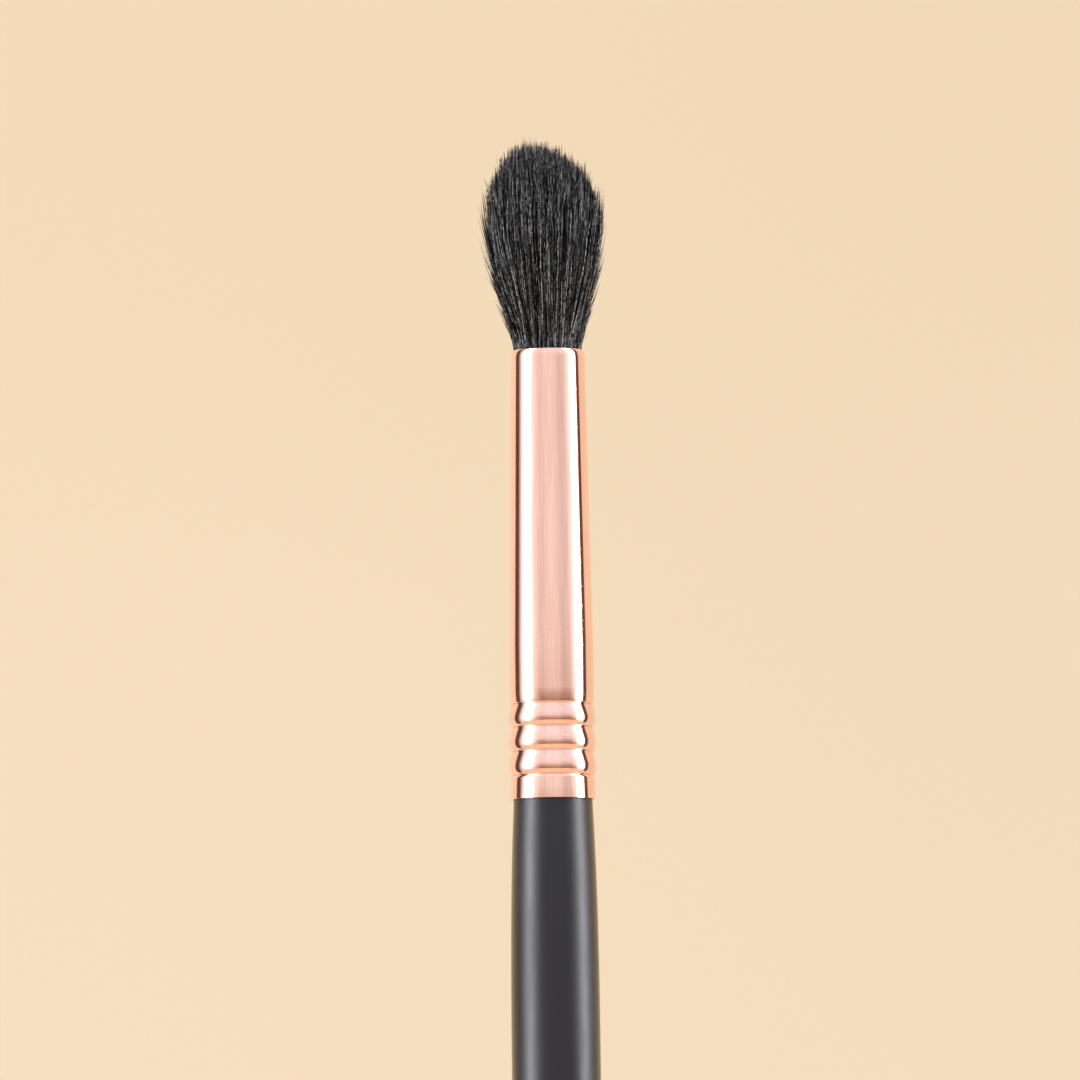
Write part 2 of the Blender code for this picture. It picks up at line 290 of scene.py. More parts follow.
def lacquer():
    made, tree, shader = new_tree("handle_lacquer")
    grain = noise(tree, LACQUER_GRAIN_WAVES, detail=5.0, distortion=LACQUER_GRAIN_BEND)
    feed(tree, mixed(tree, grain, LACQUER_DARK, LACQUER_LIGHT), shader, "Base Color")
    cloud = noise(tree, LACQUER_CLOUD_WAVES)
    feed(tree, mapped(tree, cloud, *CLOUD_RANGE, *LACQUER_ROUGHNESS), shader, "Roughness")
    shader.inputs["Specular IOR Level"].default_value = LACQUER_SPECULAR
    shader.inputs["Specular Tint"].default_value = LACQUER_SPECULAR_TINT
    # Painted reflection: a full sheen, tinted orange, warms the handle's edges as the beige surroundings
    # would
    shader.inputs["Sheen Weight"].default_value = 1.0
    shader.inputs["Sheen Roughness"].default_value = LACQUER_SHEEN_ROUGHNESS
    shader.inputs["Sheen Tint"].default_value = LACQUER_SHEEN_TINT
    peel = noise(tree, LACQUER_PEEL_WAVES, detail=2.0)
    bumped(tree, shader, maths(tree, "MULTIPLY_ADD", peel, LACQUER_PEEL_SHARE, grain), LACQUER_BUMP)
    return made


# Dyed hair: dull hairs, glinting ones whose glints are painted into their colour, and their tips
HAIR_DULL = (0.006, 0.006, 0.007, 1)
HAIR_GLINT = (0.84, 0.9, 1.0, 1)
TIP_DULL = (0.014, 0.009, 0.006, 1)
TIP_GLINT = (0.4, 0.37, 0.36, 1)
TIP_START = 0.94
HAIR_BREAK_WAVES = (7000.0, 7000.0, 2600.0)
HAIR_BREAK_SHIFT = 5000.0
HAIR_BREAK_RANGE = (0.4, 0.6)
HAIR_BREAK_LEVELS = (0.1, 1.22)
HAIR_SPECULAR = 0.97
HAIR_LEAST_SPECULAR = 0.01
HAIR_SPECULAR_TINT = (0.86, 0.91, 1.0, 1)
HAIR_SCALE_WAVES = (9000.0, 9000.0, 2500.0)
HAIR_SCALE_RANGE = (0.3, 0.7)
HAIR_ROUGHNESS = (0.34, 0.5)
HAIR_BUMP = 0.002 * MM


def black_hair():
    """Each hair has its own tone, broken up along it by itself, and a thin brownish tip. A tone's light end
    is a painted glint.
    """
    made, tree, shader = new_tree("black_hair")
    along = add(tree, "ShaderNodeAttribute", attribute_name="along").outputs["Fac"]
    tone = add(tree, "ShaderNodeAttribute", attribute_name="tone").outputs["Fac"]
    own_place = maths(tree, "MULTIPLY", tone, HAIR_BREAK_SHIFT)
    broken = noise(tree, HAIR_BREAK_WAVES, detail=2.0, shift=own_place)
    broken = mapped(tree, broken, *HAIR_BREAK_RANGE, *HAIR_BREAK_LEVELS)
    # Painted glint: a hair's colour goes toward near white, and its tip's toward light grey, where its tone
    # is high
    glint = maths(tree, "MULTIPLY", tone, broken)
    hair = mixed(tree, glint, HAIR_DULL, HAIR_GLINT)
    tip = mixed(tree, glint, TIP_DULL, TIP_GLINT)
    feed(tree, mixed(tree, mapped(tree, along, TIP_START, 1.0), hair, tip), shader, "Base Color")
    shine = maths(tree, "MULTIPLY_ADD", glint, HAIR_SPECULAR, HAIR_LEAST_SPECULAR)
    feed(tree, shine, shader, "Specular IOR Level")
    shader.inputs["Specular Tint"].default_value = HAIR_SPECULAR_TINT
    scales = noise(tree, HAIR_SCALE_WAVES, detail=2.0)
    feed(tree, mapped(tree, scales, *HAIR_SCALE_RANGE, *HAIR_ROUGHNESS), shader, "Roughness")
    bumped(tree, shader, scales, HAIR_BUMP)
    return made


# Thread, resin and glue, which the other pieces hide
THREAD_DARK = (0.6, 0.56, 0.48, 1)
THREAD_LIGHT = (0.86, 0.83, 0.76, 1)
THREAD_WAVES = (9000.0, 9000.0, 16000.0)
THREAD_ROUGHNESS = 0.8
THREAD_BUMP = 0.03 * MM
RESIN_DARK = (0.55, 0.4, 0.17, 1)
RESIN_LIGHT = (0.78, 0.66, 0.38, 1)
RESIN_WAVES = (900.0, 900.0, 900.0)
RESIN_ROUGHNESS = (0.2, 0.36)
RESIN_BUMP = 0.03 * MM
GLUE_DARK = (0.74, 0.71, 0.62, 1)
GLUE_LIGHT = (0.88, 0.86, 0.8, 1)
GLUE_WAVES = (1400.0, 1400.0, 1400.0)
GLUE_ROUGHNESS = (0.36, 0.55)
GLUE_BUMP = 0.05 * MM


def binding_thread():
    made, tree, shader = new_tree("binding_thread")
    ply = noise(tree, THREAD_WAVES)
    feed(tree, mixed(tree, ply, THREAD_DARK, THREAD_LIGHT), shader, "Base Color")
    shader.inputs["Roughness"].default_value = THREAD_ROUGHNESS
    bumped(tree, shader, ply, THREAD_BUMP)
    return made


def cloudy(name, dark, light, waves, roughness, bump):
    """A material whose colour, roughness and bump follow one noise."""
    made, tree, shader = new_tree(name)
    cloud = noise(tree, waves, detail=4.0)
    feed(tree, mixed(tree, cloud, dark, light), shader, "Base Color")
    feed(tree, mapped(tree, cloud, *CLOUD_RANGE, *roughness), shader, "Roughness")
    bumped(tree, shader, cloud, bump)
    return made


def set_resin():
    return cloudy("set_resin", RESIN_DARK, RESIN_LIGHT, RESIN_WAVES, RESIN_ROUGHNESS, RESIN_BUMP)


def handle_glue():
    return cloudy("handle_glue", GLUE_DARK, GLUE_LIGHT, GLUE_WAVES, GLUE_ROUGHNESS, GLUE_BUMP)


def shoulder(share):
    """The rise of a shoulder's quarter curve: steep at its foot and level at its top."""
    return 1 - (1 - share) ** 2


def bead(share):
    """How far a bead stands out: 0 in the groove below it, 1 at its crest and 0 in the groove above."""
    from_crest = 2 * share**BEAD_SKEW - 1
    return 1 - abs(from_crest) ** (BEAD_TOP_POWER if from_crest > 0 else BEAD_POWER)


def rounded(rise):
    """A rise above a groove, with the groove's bottom rounded."""
    return math.sqrt(rise**2 + GROOVE_ROUND**2) - GROOVE_ROUND


def beaded_side():
    """Outer side of the ferrule from its lower rim to just under its lip: (height above rim, radius)."""
    points = []
    for i in range(SHOULDER_POINTS + 1):
        turn = math.pi / 2 * i / SHOULDER_POINTS
        points.append((RIM_ROUND * (1 - math.cos(turn)), RIM_RADIUS - RIM_ROUND * (1 - math.sin(turn))))
    for i in range(SHOULDER_POINTS, 0, -1):
        share = i / SHOULDER_POINTS
        rise = shoulder(share) * (BAND_TOP_RADIUS - GROOVE_RADIUS)
        points.append((BAND_HEIGHT - share * BAND_SHOULDER, GROOVE_RADIUS + rounded(rise)))
    points.append((BAND_HEIGHT, GROOVE_RADIUS))
    beads_top = BAND_HEIGHT
    for height in BEAD_HEIGHTS:
        for i in range(1, BEAD_POINTS + 1):
            share = (1 - math.cos(math.pi * i / BEAD_POINTS)) / 2
            points.append((beads_top + share * height, GROOVE_RADIUS + rounded(bead(share) * BEAD_DEPTH)))
        beads_top += height
    for i in range(1, NECK_STEP_POINTS + 1):
        turn = math.pi / 2 * i / NECK_STEP_POINTS
        step = NECK_STEP * (1 - math.cos(turn))
        points.append((beads_top + step, GROOVE_RADIUS + NECK_STEP * math.sin(turn)))
    neck_foot = GROOVE_RADIUS + NECK_STEP
    for i in range(1, SHOULDER_POINTS + 1):
        share = i / SHOULDER_POINTS
        height = NECK_STEP + share * (NECK_SHOULDER - NECK_STEP)
        points.append((beads_top + height, neck_foot + shoulder(share) * (NECK_RADIUS - neck_foot)))
    points.append((beads_top + NECK_SHOULDER + NECK_LENGTH, NECK_RADIUS))
    points.append((MOUTH_Z - RIM_Z - LIP_HEIGHT, MOUTH_RADIUS))
    return points


def turned(name, outline, closed, look, node):
    """A piece turned from (height, radius) points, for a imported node. Only a tube's outline is closed."""
    corners = [(radius, 0, z) for z, radius in reversed(outline)]
    edges = [(i, i + 1) for i in range(len(corners) - 1)]
    if closed:
        edges.append((len(corners) - 1, 0))
    line = bpy.data.meshes.new(name + "_line")
    line.from_pydata(corners, edges, [])
    piece = new_object(name, line)
    screw = piece.modifiers.new("Turn", "SCREW")
    screw.steps = ROUND_STEPS
    screw.render_steps = ROUND_STEPS
    screw.use_merge_vertices = True
    screw.merge_threshold = MERGE_DISTANCE
    shown = piece.evaluated_get(bpy.context.evaluated_depsgraph_get())
    mesh = bpy.data.meshes.new_from_object(shown)
    piece.modifiers.clear()
    piece.data = mesh
    mesh.shade_smooth()
    mesh.set_sharp_from_angle(angle=SHARP_ANGLE)
    coat(mesh, look)
    in_place_of(piece, node)


def make_ferrule():
    """The ferrule: its beaded side, its curled lip, and a bore one wall further in."""
    outside = beaded_side()
    bore = [(0, RIM_RADIUS)] + [(height, radius) for height, radius in outside if height > RIM_ROUND]
    bore.append((MOUTH_Z - RIM_Z, MOUTH_RADIUS))
    for i in range(1, LIP_POINTS + 1):
        turn = math.pi / 2 * i / LIP_POINTS
        height = MOUTH_Z - RIM_Z - LIP_HEIGHT * (1 - math.sin(turn))
        outside.append((height, MOUTH_RADIUS - LIP_CURL * (1 - math.cos(turn))))
    inside = [(height, radius - FERRULE_WALL) for height, radius in reversed(bore)]
    outline = [(RIM_Z + height, radius) for height, radius in inside + outside]
    turned("ferrule_shell", outline, True, rose_gold(), "ferrule")


def make_handle():
    """The handle from its butt to the end of its tenon, which stays clear of the ferrule's bore."""
    belly_z = RIM_Z - BELLY_BELOW_RIM
    points = [(0, 0)]
    for i in range(BUTT_POINTS):
        turn = math.pi / 2 * i / BUTT_POINTS
        width = BUTT_FLAT_RADIUS + (TAIL_RADIUS - BUTT_FLAT_RADIUS) * math.sin(turn)
        points.append((TAIL_ROUND_HEIGHT * (1 - math.cos(turn)), width))
    for i in range(TAIL_POINTS):
        up = i / TAIL_POINTS
        width = BELLY_RADIUS - (BELLY_RADIUS - TAIL_RADIUS) * (1 - up) ** TAIL_POWER
        points.append((TAIL_ROUND_HEIGHT + up * (belly_z - TAIL_ROUND_HEIGHT), width))
    for i in range(BELLY_POINTS + 1):
        up = i / BELLY_POINTS
        width = BELLY_RADIUS - (BELLY_RADIUS - SHOULDER_RADIUS) * up**BELLY_POWER
        points.append((belly_z + up * BELLY_BELOW_RIM, width))
    tenon_radius = GROOVE_RADIUS - FERRULE_WALL - GLUE_LINE
    points.append((RIM_Z + BAND_HEIGHT - BAND_SHOULDER, SHOULDER_RADIUS - (RIM_RADIUS - BAND_TOP_RADIUS)))
    points.append((RIM_Z + BAND_HEIGHT, tenon_radius))
    points.append((TENON_TOP_Z - TENON_CHAMFER, tenon_radius))
    points.append((TENON_TOP_Z, tenon_radius - TENON_CHAMFER))
    points.append((TENON_TOP_Z, 0))
    turned("handle_body", points, False, lacquer(), "handle")


# Hair: the strands' number and thickness, and their levels from foot to tip with their thickness there
SEED = 3
HAIR_COUNT = 5600
HAIR_PIECES = 3
HAIR_SIDES = 3
HAIR_SUNK = 1.6 * MM
HAIR_RADIUS = 0.05 * MM
HAIR_RADIUS_RANGE = (0.8, 1.15)
HAIR_LEVELS = np.array([0.0, 0.09, 0.2, 0.32, 0.44, 0.56, 0.67, 0.77, 0.86, 0.93, 0.975, 1.0])
HAIR_THICKNESS_SHARES = np.array([0.78, 0.8, 0.84, 0.9, 0.96, 1.0, 1.0, 0.96, 0.88, 0.72, 0.5, 0.0])

# Places in the bundle: how far they are moved, how far out they may be, and where the edge starts
HAIR_JITTER = 0.35
BUNDLE_EDGE = 0.998
EDGE_START = 0.8

# Tones: the power makes hairs with painted glints few, and a hair above the fine tone is thinner
TONE_POWER = 2.5
FINE_TONE = 0.12
FINE_SHARE = 0.56

# Lengths: hairs end short of a rise above the dome, those at the edge more so, and a few go beyond it
TIP_RISE = 0.6 * MM
SHORT_SPREAD = 0.32 * MM
EDGE_SHORT_SPREAD = 0.5 * MM
LONG_SHARE = 0.1
LONG_MOST = 0.6 * MM

# Locks, which draw the ends of their hairs together
LOCK_COUNT = 1000
LOCK_JITTER = 0.3
LOCK_RISE_SPREAD = 0.26 * MM
LOCK_PULL_RANGE = (0.05, 0.6)
LOCK_PULL_START = 0.7
LOCK_PULL_POWER = 1.2
LOCK_SWAY_SPREAD = 0.06 * MM
LOCK_SWAY_POWER = 1.5

# Each hair's own way: a drift and waves that grow as it rises, and a kick near its tip
RISEN_MOST = 1.4
DRIFT_SPREAD = 0.15 * MM
KICK_START = 0.8
KICK_SPREAD = 0.14 * MM
EDGE_KICK_SPREAD = 0.3 * MM
WAVE_RISE = 2.5
HAIR_WAVES = ((16 * MM, 0.16 * MM), (8 * MM, 0.06 * MM), (3.5 * MM, 0.035 * MM))


def flare(height):
    """How far the tuft has opened at a height above the mouth, from 0 there to 1 at its widest."""
    rise = np.clip(height / WIDEST_HEIGHT, 0, 1)
    return np.sin(np.pi / 2 * rise) ** FLARE_POWER


def dome(x_share, y_share):
    """Height of the tuft's dome above the mouth, by how far out from its off-centre apex a place is."""
    from_apex_x = x_share * WIDEST_RADIUS - APEX_SHIFT
    from_apex_y = y_share * WIDEST_RADIUS
    along = from_apex_x * APEX_SHIFT
    reach = WIDEST_RADIUS**2 - APEX_SHIFT**2
    outward = (along + np.sqrt(along**2 + reach * (from_apex_x**2 + from_apex_y**2))) / reach
    curve = (1 - np.clip(outward, 0, 1) ** DOME_POWER) ** (1 / DOME_POWER)
    foot = WIDEST_HEIGHT - DOME_TILT * x_share
    return foot + (TUFT_LENGTH - foot) * curve


def spiral(count, rng, jitter):
    """Points spread evenly over the unit disc, each moved a share of their spacing."""
    index = np.arange(count)
    out = np.sqrt((index + 0.5) / count)
    angle = index * np.pi * (3 - math.sqrt(5))
    spacing = math.sqrt(np.pi / count)
    x = out * np.cos(angle) + rng.normal(0, jitter * spacing, count)
    y = out * np.sin(angle) + rng.normal(0, jitter * spacing, count)
    over = np.maximum(1, np.hypot(x, y) / BUNDLE_EDGE)
    return x / over, y / over


def spread_in_groups(group, rng):
    """Random shares from 0 to 1, spread evenly inside each group."""
    order = np.lexsort((rng.random(len(group)), group))
    sizes = np.bincount(group)
    starts = np.cumsum(sizes) - sizes
    rank = np.arange(len(group)) - starts[group[order]]
    share = np.empty(len(group))
    share[order] = (rank + rng.random(len(group))) / sizes[group[order]]
    return share


def flow(x_share, y_share, height):
    """Where a hair of a place in the bundle passes a height above the mouth."""
    opened = flare(height)
    radius = BUNDLE_RADIUS + (WIDEST_RADIUS - BUNDLE_RADIUS) * opened
    return x_share * radius + TUFT_LEAN * opened, y_share * radius


def hair_faces(hairs, rings):
    """Faces of tubes of so many rings, each with a closed foot and a point above its last ring."""
    side = np.arange(HAIR_SIDES)
    beside = (side + 1) % HAIR_SIDES
    quad = np.stack([side, beside, HAIR_SIDES + beside, HAIR_SIDES + side], -1)
    quads = np.concatenate([ring * HAIR_SIDES + quad for ring in range(rings - 1)])
    last = (rings - 1) * HAIR_SIDES
    tip = rings * HAIR_SIDES
    points = np.stack([last + side, last + beside, np.full(HAIR_SIDES, tip)], -1)
    faces = []
    for start in range(0, hairs * (tip + 1), tip + 1):
        faces += (quads + start).tolist()
        faces += (points + start).tolist()
        faces.append((start + side[::-1]).tolist())
    return faces


def hair_piece(name, look, x, y, z, radius, along, tone, turn):
    """A piece of closed tapering tubes from arrays of (hair, level) places. The last level is a point."""
    hairs, levels = x.shape
    rings = levels - 1
    angles = turn[:, None, None] + 2 * np.pi * np.arange(HAIR_SIDES) / HAIR_SIDES
    ring_x = x[:, :rings, None] + radius[:, :rings, None] * np.cos(angles)
    ring_y = y[:, :rings, None] + radius[:, :rings, None] * np.sin(angles)
    ring_z = np.broadcast_to(z[:, :rings, None], ring_x.shape)
    body = np.stack([ring_x, ring_y, ring_z], -1).reshape(hairs, rings * HAIR_SIDES, 3)
    tips = np.stack([x[:, -1], y[:, -1], z[:, -1]], -1)[:, None, :]
    corners = np.concatenate([body, tips], 1)
    mesh = bpy.data.meshes.new(name)
    mesh.from_pydata(corners.reshape(-1, 3).tolist(), [], hair_faces(hairs, rings))
    along_all = np.concatenate([np.repeat(along[:rings], HAIR_SIDES), [1.0]])
    values = {"along": np.tile(along_all, hairs), "tone": np.repeat(tone, len(along_all))}
    for key, value in values.items():
        mesh.attributes.new(key, "FLOAT", "POINT").data.foreach_set("value", value.astype(np.float32))
    mesh.shade_smooth()
    coat(mesh, look)
    in_place_of(new_object(name, mesh), "hair_tuft")


def beyond(share, start):
    """How much of the way from a start to 1 is done, from 0 to 1."""
    return np.clip((share - start) / (1 - start), 0, 1)


def up_to(tip, levels):
    """Heights above the mouth along each hair, from its foot inside the ferrule to its tip."""
    return -HAIR_SUNK + levels[None, :] * (tip[:, None] + HAIR_SUNK)


def hair_tips(rng, x_share, y_share, edge, lock_rise):
    """The height above the mouth at which each hair ends."""
    short = np.abs(rng.normal(0, SHORT_SPREAD, HAIR_COUNT))
    short = short + edge * rng.exponential(EDGE_SHORT_SPREAD, HAIR_COUNT)
    is_long = rng.random(HAIR_COUNT) < LONG_SHARE
    short = np.where(is_long, -rng.uniform(0, LONG_MOST, HAIR_COUNT), short)
    return dome(x_share, y_share) + TIP_RISE + lock_rise - short


def part_ways(rng, axis_place, height, risen, kick):
    """Moves the hairs along one axis, each by a kick, a drift and waves of its own."""
    axis_place += rng.normal(0, KICK_SPREAD, HAIR_COUNT)[:, None] * kick
    axis_place += rng.normal(0, DRIFT_SPREAD, HAIR_COUNT)[:, None] * risen
    for wavelength, reach in HAIR_WAVES:
        phase = rng.uniform(0, 2 * np.pi, HAIR_COUNT)[:, None]
        size = np.abs(rng.normal(0, reach, HAIR_COUNT))[:, None]
        wave = size * np.sin(2 * np.pi * height / wavelength + phase)
        axis_place += wave * np.clip(risen * WAVE_RISE, 0, 1)


def make_hair(look):
    """The tuft, whose hairs are dealt out to its pieces in turn."""
    rng = np.random.default_rng(SEED)
    x_share, y_share = spiral(HAIR_COUNT, rng, HAIR_JITTER)
    lock_x, lock_y = spiral(LOCK_COUNT, rng, LOCK_JITTER)
    lock = np.hypot(x_share[:, None] - lock_x, y_share[:, None] - lock_y).argmin(1)
    lock_rise = rng.normal(0, LOCK_RISE_SPREAD, LOCK_COUNT)
    lock_pull = rng.uniform(*LOCK_PULL_RANGE, LOCK_COUNT)
    lock_sway_x = rng.normal(0, LOCK_SWAY_SPREAD, LOCK_COUNT)
    lock_sway_y = rng.normal(0, LOCK_SWAY_SPREAD, LOCK_COUNT)
    edge = beyond(np.hypot(x_share, y_share), EDGE_START)
    height = up_to(hair_tips(rng, x_share, y_share, edge, lock_rise[lock]), HAIR_LEVELS)
    x, y = flow(x_share[:, None], y_share[:, None], height)
    pull_x, pull_y = flow(lock_x[lock][:, None], lock_y[lock][:, None], height)
    risen = np.clip(height / WIDEST_HEIGHT, 0, RISEN_MOST)
    pull = lock_pull[lock][:, None] * beyond(HAIR_LEVELS[None, :], LOCK_PULL_START) ** LOCK_PULL_POWER
    x = x + (pull_x - x) * pull + lock_sway_x[lock][:, None] * risen**LOCK_SWAY_POWER
    y = y + (pull_y - y) * pull + lock_sway_y[lock][:, None] * risen**LOCK_SWAY_POWER
    kick = beyond(HAIR_LEVELS[None, :], KICK_START) ** 2
    outward = np.abs(rng.normal(0, EDGE_KICK_SPREAD, HAIR_COUNT)) * edge
    x = x + (outward * x_share)[:, None] * kick
    y = y + (outward * y_share)[:, None] * kick
    part_ways(rng, x, height, risen, kick)
    part_ways(rng, y, height, risen, kick)
    tone = spread_in_groups(lock, rng) ** TONE_POWER
    thick = HAIR_RADIUS * rng.uniform(*HAIR_RADIUS_RANGE, HAIR_COUNT)
    thick = thick * np.where(tone > FINE_TONE, FINE_SHARE, 1.0)
    radius = thick[:, None] * HAIR_THICKNESS_SHARES[None, :]
    turn = rng.uniform(0, 2 * np.pi, HAIR_COUNT)
    z = MOUTH_Z + height
    for part in range(HAIR_PIECES):
        chosen = slice(part, None, HAIR_PIECES)
        places = (x[chosen], y[chosen], z[chosen], radius[chosen])
        hair_piece(f"hair_{part + 1}", look, *places, HAIR_LEVELS, tone[chosen], turn[chosen])


# Strays: fans of hairs on the left, on the right and all round, with their spreads in radians
FAN_COUNT = 280
FAN_HAIRS = 4
LEFT_FANS = 0.55
RIGHT_FANS = 0.15
LEFT_SPREAD = 0.45
RIGHT_SPREAD = 0.4
FAN_TIP_RANGE = (3.2 * MM, 14.4 * MM)
FAN_BEND_RANGE = (1.5, 3.2)

# How far a fan's tips stand off the tuft, and the most of it, also as a share of the tips' height
FAN_AWAY_SHAPE = 2.6
FAN_AWAY_SCALE = 0.27 * MM
FAN_AWAY_MOST = 1.1 * MM
FAN_AWAY_OF_TIP = 0.16
ELSEWHERE_AWAY_SHARE = 0.65

# How the hairs of a fan differ
STRAY_ANGLE_SPREAD = 0.13
STRAY_TIP_SPREAD = 1.1 * MM
STRAY_AWAY_RANGE = (0.25, 1.25)
STRAY_LEVELS = np.linspace(0, 1, 12)
STRAY_RADIUS = 0.042 * MM
STRAY_RADIUS_RANGE = (0.7, 1.1)
STRAY_TAPER_POWER = 8
STRAY_TONE_MOST = 0.8
STRAY_TONE_POWER = 3.2


def make_strays(look):
    """Fans of thin hairs that leave the tuft's side at a small angle, most of them on its left."""
    rng = np.random.default_rng(SEED + 1)
    side = rng.random(FAN_COUNT)
    left, right = side < LEFT_FANS, side > 1 - RIGHT_FANS
    left_angle = rng.normal(np.pi, LEFT_SPREAD, FAN_COUNT)
    fan_angle = np.where(left, left_angle, rng.uniform(-np.pi, np.pi, FAN_COUNT))
    fan_angle = np.where(right, rng.normal(0, RIGHT_SPREAD, FAN_COUNT), fan_angle)
    fan_tip = rng.uniform(*FAN_TIP_RANGE, FAN_COUNT)
    fan_away = np.minimum(rng.gamma(FAN_AWAY_SHAPE, FAN_AWAY_SCALE, FAN_COUNT), FAN_AWAY_MOST)
    fan_away = fan_away * np.where(left, 1.0, ELSEWHERE_AWAY_SHARE)
    fan_away = np.minimum(fan_away, FAN_AWAY_OF_TIP * fan_tip)
    fan_bend = rng.uniform(*FAN_BEND_RANGE, FAN_COUNT)
    count = FAN_COUNT * FAN_HAIRS
    angle = np.repeat(fan_angle, FAN_HAIRS) + rng.normal(0, STRAY_ANGLE_SPREAD, count)
    tip = np.repeat(fan_tip, FAN_HAIRS) + rng.normal(0, STRAY_TIP_SPREAD, count)
    away = np.repeat(fan_away, FAN_HAIRS) * rng.uniform(*STRAY_AWAY_RANGE, count)
    bend = np.repeat(fan_bend, FAN_HAIRS)
    x_share, y_share = np.cos(angle), np.sin(angle)
    height = up_to(tip, STRAY_LEVELS)
    x, y = flow(x_share[:, None], y_share[:, None], height)
    away = away[:, None] * np.clip(height / tip[:, None], 0, 1) ** bend[:, None]
    x = x + away * x_share[:, None]
    y = y + away * y_share[:, None]
    taper = 1 - STRAY_LEVELS[None, :] ** STRAY_TAPER_POWER
    radius = STRAY_RADIUS * rng.uniform(*STRAY_RADIUS_RANGE, count)[:, None] * taper
    tone = STRAY_TONE_MOST * rng.random(count) ** STRAY_TONE_POWER
    turn = rng.uniform(0, 2 * np.pi, count)
    hair_piece("hair_strays", look, x, y, MOUTH_Z + height, radius, STRAY_LEVELS, tone, turn)


# Studio by direction in degrees: its walls and white fill, and its softboxes as shares of their power
BEIGE = (0.905, 0.716, 0.497)
LEFT_WALL = (1.04, 0.93, 0.71)
RIGHT_WALL = (0.98, 0.83, 0.6)
DARK = (0.14, 0.08, 0.058)
BLUE_EDGE = (0.5, 0.56, 0.62)


def grey(level):
    return (level, level, level)


FILL_STOPS = (
    (-180, BEIGE),
    (-150, LEFT_WALL),
    (-118, LEFT_WALL),
    (-116, DARK),
    (-101, DARK),
    (-97, BLUE_EDGE),
    (-92, grey(0.9)),
    (-38, grey(1.0)),
    (-24, grey(0.89)),
    (-10, grey(0.99)),
    (8, grey(1.0)),
    (20, grey(0.95)),
    (30, grey(0.81)),
    (40, grey(0.8)),
    (56, grey(0.92)),
    (94, grey(0.9)),
    (97, DARK),
    (107, DARK),
    (111, RIGHT_WALL),
    (150, RIGHT_WALL),
    (180, BEIGE),
)
SOFTBOX_STOPS = (
    (-93, grey(0.0)),
    (-87, grey(0.035)),
    (-82, grey(0.09)),
    (-77, grey(1.0)),
    (-63, grey(1.0)),
    (-57, grey(0.08)),
    (-50, grey(0.024)),
    (-42, grey(0.008)),
    (-36, grey(0.0)),
    (50, grey(0.0)),
    (57, grey(0.012)),
    (65, grey(0.035)),
    (69, grey(0.09)),
    (73, grey(0.8)),
    (78, grey(1.0)),
    (87, grey(1.0)),
    (93, grey(0.15)),
    (95, grey(0.0)),
)

# Levelled heights: the table's edge, the least unit, and how much longer it gets at the side azimuth
HORIZON = -0.318
LEAST_UNIT = 0.5
SIDE_DROP = 1.6
SIDE_AZIMUTH = 1.85
SIDE_POWER = 8.0

# Front of the studio, from the table's edge up: (levelled height, colour)
FRONT_STOPS = (
    (HORIZON, (0.34, 0.22, 0.16)),
    (-0.19, (0.5, 0.37, 0.29)),
    (-0.05, (0.67, 0.57, 0.51)),
    (0.03, (0.82, 0.75, 0.71)),
    (0.07, (0.9, 0.86, 0.83)),
    (0.1, (1.0, 0.99, 0.98)),
    (0.24, (1.0, 1.0, 1.0)),
    (0.42, (1.05, 1.12, 1.2)),
)
FRONT_ZERO_PLACE = 0.5

# The darker patch at the table's edge: its middle, its bowed top, and how far from it the front fades out
PATCH_AZIMUTH = math.radians(13)
PATCH_BOW = 0.1
PATCH_BOW_HEIGHTS = (0.12, 0.03)
PATCH_ENDS = (math.radians(78), math.radians(38))

# The darker stripe right of the front, which is lifted where the studio is high
STRIPE_AZIMUTH = math.radians(39)
STRIPE_LIFT = 0.15
STRIPE_ENDS = (math.radians(20), math.radians(7))
STRIPE_HEIGHTS = (0.12, 0.36)

# Softboxes: their power in mirrored and in other light, and the ranges in which they come in and go out
SOFTBOX_MIRRORED = 15.5
SOFTBOX_POWER = 1.9
SOFTBOX_FOOT = (HORIZON, HORIZON + 0.03, 0.0, 0.16)
SOFTBOX_BODY = (-0.2, -0.08, 0.0, 0.84)
SOFTBOX_TOP = (0.9, 0.75)

# Table, which is mirrored in place of the floor: its soft edge, its plain colour and that at a softbox
TABLE_EDGE = (HORIZON - 0.015, HORIZON + 0.01)
TABLE_PLAIN = (1.01, 0.84, 0.6, 1)
TABLE_LIT = (1.15, 0.98, 0.72, 1)

# Wall behind the brush, which darkens as it rises and toward the right
BACKDROP_LOW = (0.93, 0.744, 0.531, 1)
BACKDROP_HIGH = (0.905, 0.715, 0.49, 1)
BACKDROP_HEIGHTS = (0.02, 0.15)
BACKDROP_ACROSS = (-0.05, 0.05, 1.0, 0.975)


def direction_ramp(tree, azimuth, stops):
    """A ramp over the compass from (degrees, colour) stops."""
    share = maths(tree, "MULTIPLY_ADD", azimuth, 1 / (2 * math.pi), 0.5)
    return ramp(tree, share, [((degrees + 180) / 360, colour) for degrees, colour in stops])


def away_from(tree, azimuth, middle):
    """How far a direction is from another, in radians."""
    return maths(tree, "ABSOLUTE", maths(tree, "SUBTRACT", azimuth, middle))


def levelled_height(tree, azimuth, z):
    """The height of a look in a unit by which one slope of the ferrule mirrors one height all round it.

    The unit is the cosine of half the direction. It gets longer beside the brush, where the horizon sinks.
    """
    half_turn = maths(tree, "COSINE", maths(tree, "MULTIPLY", azimuth, 0.5))
    side_share = maths(tree, "DIVIDE", maths(tree, "ABSOLUTE", azimuth), SIDE_AZIMUTH)
    side_drop = maths(tree, "MULTIPLY_ADD", maths(tree, "POWER", side_share, SIDE_POWER), SIDE_DROP, 1.0)
    unit = maths(tree, "MULTIPLY", maths(tree, "MAXIMUM", half_turn, LEAST_UNIT), side_drop)
    return maths(tree, "DIVIDE", z, unit)


